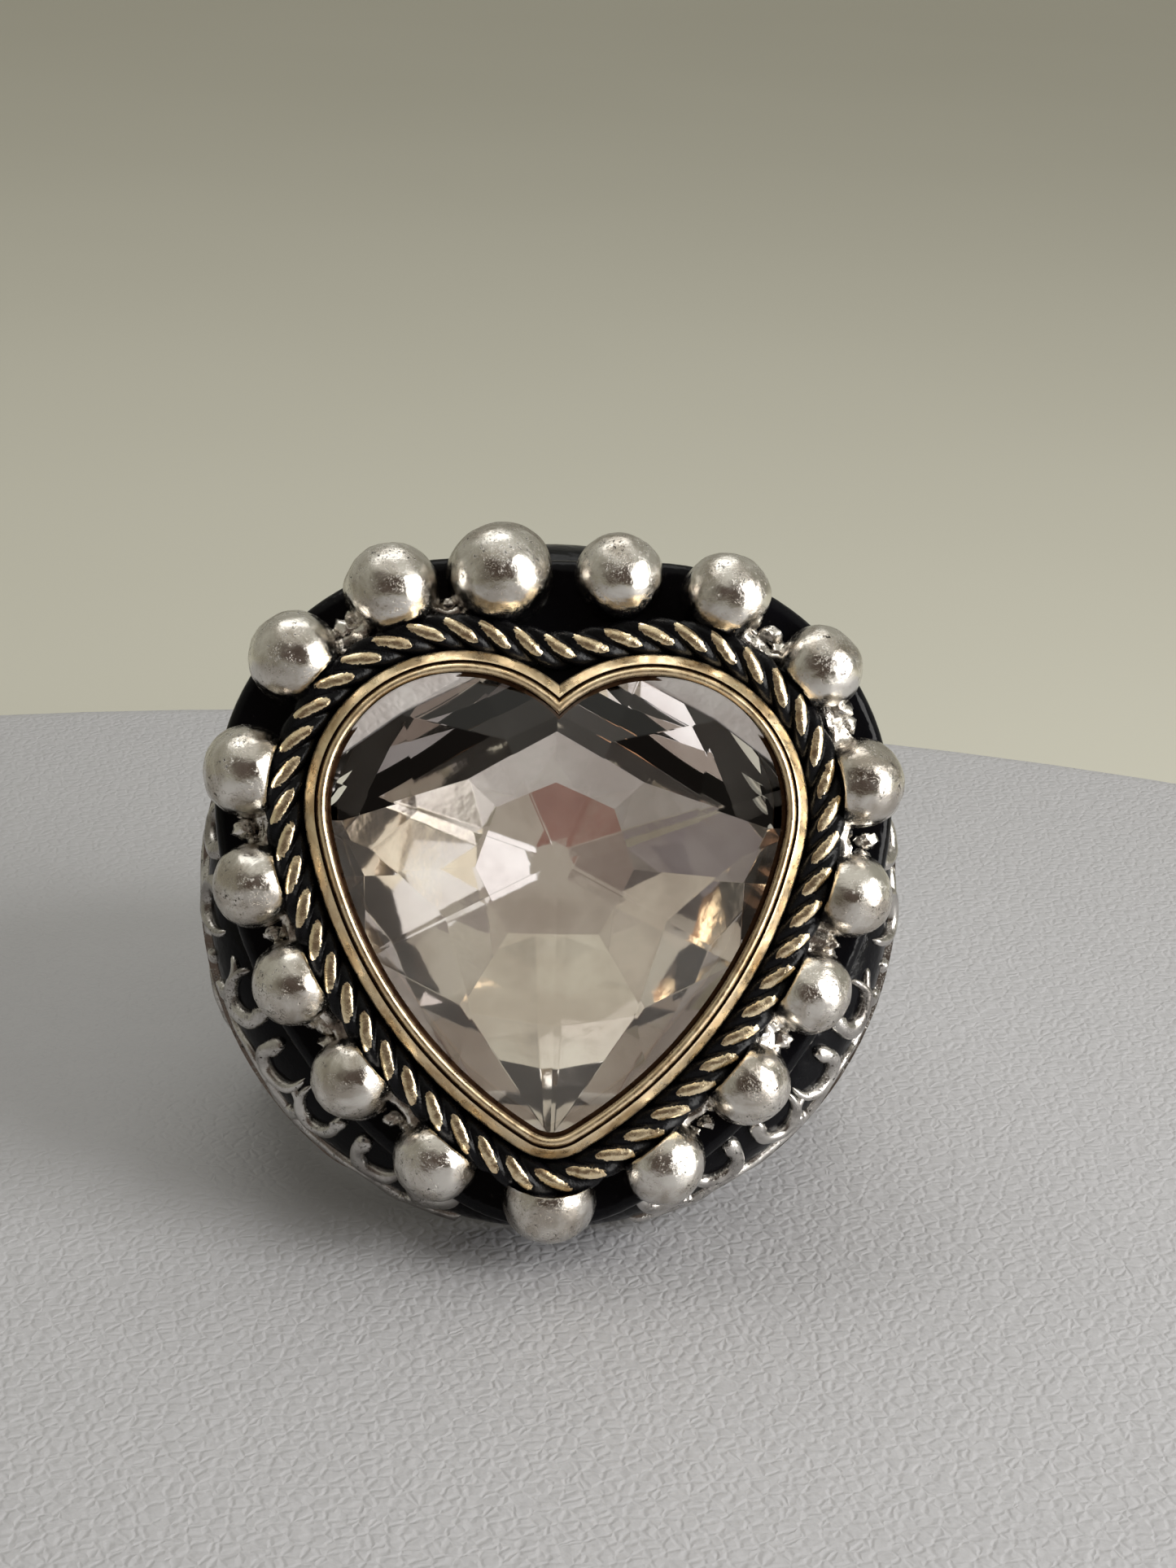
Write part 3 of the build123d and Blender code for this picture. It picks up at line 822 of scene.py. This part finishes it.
def clip(polygon, a, b, c):
    """The part of a flat polygon where a x + b y + c is not above zero."""
    kept = []
    for (x, y), (next_x, next_y) in zip(polygon, polygon[1:] + polygon[:1]):
        here, there = a * x + b * y + c, a * next_x + b * next_y + c
        if here <= 0:
            kept.append((x, y))
        if (here < 0 < there) or (there < 0 < here):
            share = here / (here - there)
            kept.append((x + (next_x - x) * share, y + (next_y - y) * share))
    return kept


def facets(outline, heights, side):
    """Flat polygons, one for each facet and half: the places where its plane is nearest to the middle."""
    made = []
    for half in (1, -1):
        for i, (a, b, c) in enumerate(heights):
            polygon = clip(outline, half, 0, 0)
            for j, other in enumerate(heights):
                if i != j and len(polygon) > 2:
                    polygon = clip(polygon, *(side * (own - its) for own, its in zip((a, b, c), other)))
            if len(polygon) > 2:
                made.append([(x, y, a * x + b * y + c) for x, y in polygon])
    return made


def faceted_solid(outline, top, top_side, bottom, bottom_side):
    """A closed solid between two faceted surfaces over one outline."""
    body = bmesh.new()
    corners = {}

    def vertex(x, y, z):
        key = (round(x, 5), round(y, 5), round(z, 5))
        if key not in corners:
            corners[key] = body.verts.new(key)
        return corners[key]

    def face(points):
        loop = []
        for point in points:
            corner = vertex(*point)
            if not loop or corner is not loop[-1]:
                loop.append(corner)
        if loop[0] is loop[-1]:
            loop.pop()
        if len(set(loop)) == len(loop) > 2:
            body.faces.new(loop)

    top_facets = facets(outline, top, top_side)
    bottom_facets = facets(outline, bottom, bottom_side)
    for polygon in top_facets:
        face(polygon)
    for polygon in bottom_facets:
        face(reversed(polygon))
    for start, end in zip(outline, outline[1:] + outline[:1]):
        edge = Vector(end) - Vector(start)

        def along(polygons):
            shares = {0.0, 1.0}
            for polygon in polygons:
                for x, y, _ in polygon:
                    away = Vector((x, y)) - Vector(start)
                    share = away.dot(edge) / edge.length_squared
                    if 0.001 < share < 0.999 and abs(away.cross(edge)) / edge.length < 1e-5:
                        shares.add(round(share, 5))
            return [Vector(start) + edge * share for share in sorted(shares)]

        low = [(*spot, height_at(bottom, bottom_side, *spot)) for spot in along(bottom_facets)]
        high = [(*spot, height_at(top, top_side, *spot)) for spot in along(top_facets)]
        face(low + high[::-1])
    return body


def wear_crown(body):
    """Rub down the edges between the crown's facets."""
    sharp = []
    for edge in body.edges:
        on_crown = len(edge.link_faces) == 2 and all(f.normal.z > 0.5 for f in edge.link_faces)
        if on_crown and edge.calc_face_angle() > math.radians(3):
            sharp.append(edge)
    bmesh.ops.bevel(body, geom=sharp, offset=WORN_EDGE, segments=1, affect="EDGES")


def stone_piece(name, body, material, node, worn=False):
    bmesh.ops.remove_doubles(body, verts=body.verts, dist=0.003)
    if worn:
        wear_crown(body)
    body.transform(ring_to_row)
    mesh = bpy.data.meshes.new(name)
    body.to_mesh(mesh)
    mesh.shade_flat()
    mesh.materials.append(material)
    piece = bpy.data.objects.new(name, mesh)
    bpy.context.scene.collection.objects.link(piece)
    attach(piece, "root")
    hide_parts(node)


def back_kites():
    """The back's kites, each behind a ridge of the crown, and the ridges between them."""
    kites, ridges = [], []
    for i, (kite, _) in enumerate(KITES):
        next_kite, next_tip = KITES[(i + 1) % len(KITES)]
        kites.append((kite - ((kite - next_kite) % 360) / 2, RIDGES[i] / RIDGE_SHARE))
        ridges.append(next_tip * BACK_RIDGE_SHARE)
    return kites, ridges


def back_heights(lift=0.0):
    """The facets of the stone's back, with the small flat that it ends in."""
    point_height = CULET_HEIGHT - CULET_RADIUS * BACK_SLOPE
    sides = facet_heights(*back_kites(), -1, point_height, GIRDLE_BASE, BACK_SLOPE, lift)
    return [*sides, (0.0, 0.0, CULET_HEIGHT + lift)]


def stone(glass, mirror):
    """The stone, and the mirror foil that hugs its back."""
    outline = heart(GIRDLE_GAP)
    crown = facet_heights(KITES, RIDGES, 1, CROWN_POINT, GIRDLE_TOP, CROWN_SLOPE)
    body = faceted_solid(outline, crown, 1, back_heights(), -1)
    stone_piece("faceted_heart", body, glass, "heart_crystal", worn=True)
    skin = faceted_solid(outline, back_heights(-FOIL_GAP), -1, back_heights(-FOIL_GAP - FOIL_THICKNESS), -1)
    stone_piece("mirror_foil", skin, mirror, "foil_backing")
    foil_edge(mirror)


def foil_edge(mirror):
    """The foil's edge, folded up round the stone's side as far as the girdle."""
    heights = back_heights(-FOIL_GAP)
    inner, outer = [heart(GIRDLE_GAP + gap) for gap in FOIL_EDGE]
    rings = [
        [(x, y, height_at(heights, -1, x, y)) for x, y in inner],
        [(x, y, GIRDLE_TOP) for x, y in inner],
        [(x, y, GIRDLE_TOP) for x, y in outer],
        [(x, y, height_at(heights, -1, x, y)) for x, y in outer],
    ]
    points = [spot for place in zip(*rings) for spot in place]
    add_piece("mirror_foil_edge", points, grid_faces(len(inner), len(rings)), mirror, "foil")


# ---------------------------------------------------------------- stage, light and camera


WALL = (0.34, 0.33, 0.28)

# The mat that the ring lies on, and the table under it, in metres
MAT_CENTRE = Vector((-0.008, -0.062, 0.0))
MAT_RADIUS = 0.11
MAT_ROUND = 0.004
TABLE_RADIUS = 1.5
HALF_ROUND = [math.pi * i / 12 for i in range(13)]

# The camera, in the ring's frame
LENS = 65.5
CAMERA_DISTANCE = 101.7
CAMERA_ASIDE = math.radians(-2.0)
CAMERA_ROLL = math.radians(-1.0)
AIM_FROM_FACE = Vector((1.1, 3.6, 0))

# Soft shapes on the walls of the room: how far each lies from straight in front of the heart, which way
# round (0 is right and 90 is up), its inner and outer half-angles, and its colour
ROOM = [
    (0, 0, 24, 62, (0.1, 0.078, 0.065)),
    (66, 90, 20, 50, (0.62, 0.6, 0.54)),
]
# What rays through the stone meet instead: more shapes, with directions and tones set for its facets
ROOM_IN_STONE = [
    (0, 0, 50, 85, (0.38, 0.35, 0.3)),
    (60, 90, 20, 45, (0.6, 0.58, 0.48)),
    (62, -90, 14, 26, (0.5, 0.53, 0.57)),
    (72, -2, 20, 26, (1.15, 1.08, 0.88)),
    (60, 158, 12, 16, (0.52, 0.48, 0.4)),
    (60, -152, 20, 23, (0.2, 0.18, 0.19)),
    (46, -57, 8, 12, (0.16, 0.15, 0.15)),
    (46, 172, 7, 10, (0.07, 0.06, 0.06)),
    (43, 15, 7, 10, (1.1, 1.1, 1.08)),
    (29, 27, 7, 9, (0.36, 0.31, 0.28)),
    (26, 150, 7, 9, (0.3, 0.29, 0.3)),
    (15, 180, 5, 9, (0.2, 0.16, 0.14)),
    (15, 5, 7, 10, (1.35, 1.35, 1.4)),
    (14, -100, 7, 10, (0.22, 0.1, 0.08)),
]


def turned_profile(name, profile, centre, material, sides=128):
    """A round piece of the stage from a profile of radius and height, in metres."""
    points = []
    for reach, height in profile:
        for j in range(sides):
            turn = 2 * math.pi * j / sides
            points.append(centre + Vector((reach * math.cos(turn), reach * math.sin(turn), height)))
    mesh = bpy.data.meshes.new(name)
    mesh.from_pydata(points, [], grid_faces(len(profile), sides, close_rows=False))
    mesh.shade_smooth()
    mesh.materials.append(material)
    piece = bpy.data.objects.new(name, mesh)
    bpy.context.scene.collection.objects.link(piece)


def floor():
    """A pale leather mat with a rounded edge, on a plain grey table top."""
    leather = Nodes("mat_pale")
    colour = leather.mix(leather.noise(3, 3), (0.45, 0.45, 0.47), (0.48, 0.48, 0.5))
    pebbles = leather.bump(leather.noise(0.7, 3, 0.5), 0.1, 0.5)
    grain = leather.bump(leather.ramp(leather.creases(0.5, 0.5), 0.0, 0.3), 0.045, 0.5, pebbles)
    leather.finish(colour, normal=grain, Roughness=0.5)
    table = Nodes("table_grey")
    colour = table.mix(table.noise(60, 2), (0.58, 0.57, 0.49), (0.61, 0.6, 0.52))
    table.finish(colour, Roughness=0.8)
    flat = MAT_RADIUS - MAT_ROUND
    rounded = [(flat + MAT_ROUND * math.sin(t), MAT_ROUND * math.cos(t) - MAT_ROUND) for t in HALF_ROUND]
    turned_profile("mat", [(0.0, 0.0), (MAT_RADIUS / 2, 0.0), *rounded], MAT_CENTRE, leather.material)
    level = -2 * MAT_ROUND
    turned_profile("table_top", [(0.0, level), (TABLE_RADIUS, level)], MAT_CENTRE, table.material)


def area_light(name, place, target, size, power, colour):
    """A soft box at a place in millimetres, facing a target."""
    data = bpy.data.lights.new(name, "AREA")
    data.shape = "RECTANGLE"
    data.size, data.size_y = size[0] * MM, size[1] * MM
    data.energy = power
    data.color = colour
    light = bpy.data.objects.new(name, data)
    light.location = Vector(place) * MM
    light.rotation_mode = "QUATERNION"
    light.rotation_quaternion = (Vector(target) - Vector(place)).to_track_quat("-Z", "Y")
    bpy.context.scene.collection.objects.link(light)
    return light


def lights():
    """A window to the right, which the stone's own set of room shapes stands in for, and a weak ceiling."""
    window = area_light("window_right", (175, -95, 75), (0, -5, 12), (110, 200), 0.62, (1.0, 0.985, 0.96))
    window.visible_transmission = False
    area_light("ceiling", (-30, 90, 230), (0, 0, 10), (200, 120), 0.12, (1.0, 1.0, 0.98))


def room_colour(tree, direction, shapes):
    """The wall's colour with each soft shape laid over it."""
    colour = None
    for aside, around, inner, outer, shade in shapes:
        aside, around = math.radians(aside), math.radians(around)
        across = Vector((math.cos(around), 0, 0)) + along_finger * math.sin(around)
        towards = out_of_finger * math.cos(aside) + across * math.sin(aside)
        dot = tree.nodes.new("ShaderNodeVectorMath")
        dot.operation = "DOT_PRODUCT"
        dot.inputs[1].default_value = towards
        tree.links.new(direction, dot.inputs[0])
        ramp = tree.nodes.new("ShaderNodeMapRange")
        ramp.interpolation_type = "SMOOTHSTEP"
        ramp.inputs["From Min"].default_value = math.cos(math.radians(outer))
        ramp.inputs["From Max"].default_value = math.cos(math.radians(inner))
        tree.links.new(dot.outputs["Value"], ramp.inputs["Value"])
        mix = tree.nodes.new("ShaderNodeMix")
        mix.data_type = "RGBA"
        mix.inputs[7].default_value = (*shade, 1)
        tree.links.new(ramp.outputs["Result"], mix.inputs["Factor"])
        if colour:
            tree.links.new(colour, mix.inputs[6])
        else:
            mix.inputs[6].default_value = (*WALL, 1)
        colour = mix.outputs[2]
    return colour


def world():
    """A soft room: olive-grey walls, pale above, darker and warmer in front of the ring.

    Rays that have passed through the stone meet their own set of shapes, chosen to suit its facets.
    """
    room = bpy.data.worlds.new("room")
    room.use_nodes = True
    tree = room.node_tree
    direction = tree.nodes.new("ShaderNodeTexCoord").outputs["Generated"]
    through_stone = tree.nodes.new("ShaderNodeLightPath").outputs["Is Transmission Ray"]
    choice = tree.nodes.new("ShaderNodeMix")
    choice.data_type = "RGBA"
    tree.links.new(through_stone, choice.inputs["Factor"])
    tree.links.new(room_colour(tree, direction, ROOM), choice.inputs[6])
    tree.links.new(room_colour(tree, direction, ROOM_IN_STONE), choice.inputs[7])
    tree.links.new(choice.outputs[2], tree.nodes["Background"].inputs["Color"])
    bpy.context.scene.world = room
    bpy.context.scene.view_settings.view_transform = "Standard"


def camera():
    """Looks square on to the face, with the ring low in the frame and a little left of its middle."""
    data = bpy.data.cameras.new("camera")
    data.sensor_width = 36.0
    data.lens = LENS
    data.clip_start, data.clip_end = 0.001, 10.0
    eye = bpy.data.objects.new("camera", data)
    bpy.context.scene.collection.objects.link(eye)
    face = Vector((0, 0, FACE_HEIGHT))
    place = face + Vector((math.sin(CAMERA_ASIDE), 0, math.cos(CAMERA_ASIDE))) * CAMERA_DISTANCE
    eye.location = ring_to_row @ place
    look = (ring_to_row @ (face + AIM_FROM_FACE) - eye.location).normalized()
    up = (ring_to_row.to_3x3() @ Vector((math.sin(CAMERA_ROLL), math.cos(CAMERA_ROLL), 0))).normalized()
    right = look.cross(up).normalized()
    up = right.cross(look)
    eye.rotation_mode = "QUATERNION"
    eye.rotation_quaternion = Matrix((right, up, -look)).transposed().to_quaternion()
    bpy.context.scene.camera = eye


# ---------------------------------------------------------------- build

scroll_silver = silver("antique_silver", (0.62, 0.6, 0.57), (0.2, 0.18, 0.165), 0.8)
ball_silver = silver("bright_silver", (0.82, 0.79, 0.74), (0.4, 0.35, 0.29), 0.8, outer_wear=True)
band_silver = silver("band_silver", (0.62, 0.6, 0.57), (0.38, 0.35, 0.32), 0.7)
inner_gold = dark_gold("antique_gold_inside")
enamel = black_enamel("black_enamel")

camera()
world()
lights()
floor()

NODE_MATERIALS = {
    "shank": band_silver,
    "head_dome": enamel,
    "bead_plate": enamel,
    "rope_bed": enamel,
    "stone_cup": inner_gold,
    "bearing_strip": inner_gold,
    "cement_pad": cement("cement"),
}
for node, material in NODE_MATERIALS.items():
    data = frame["nodes"][node].data
    data.materials.clear()
    data.materials.append(material)

bezel(gold("antique_gold_grooved"))
rope(rope_metal("rope_gold_on_black"))
balls(ball_silver)
stone(crystal("crystal"), foil("foil"))
scrollwork(scroll_silver)
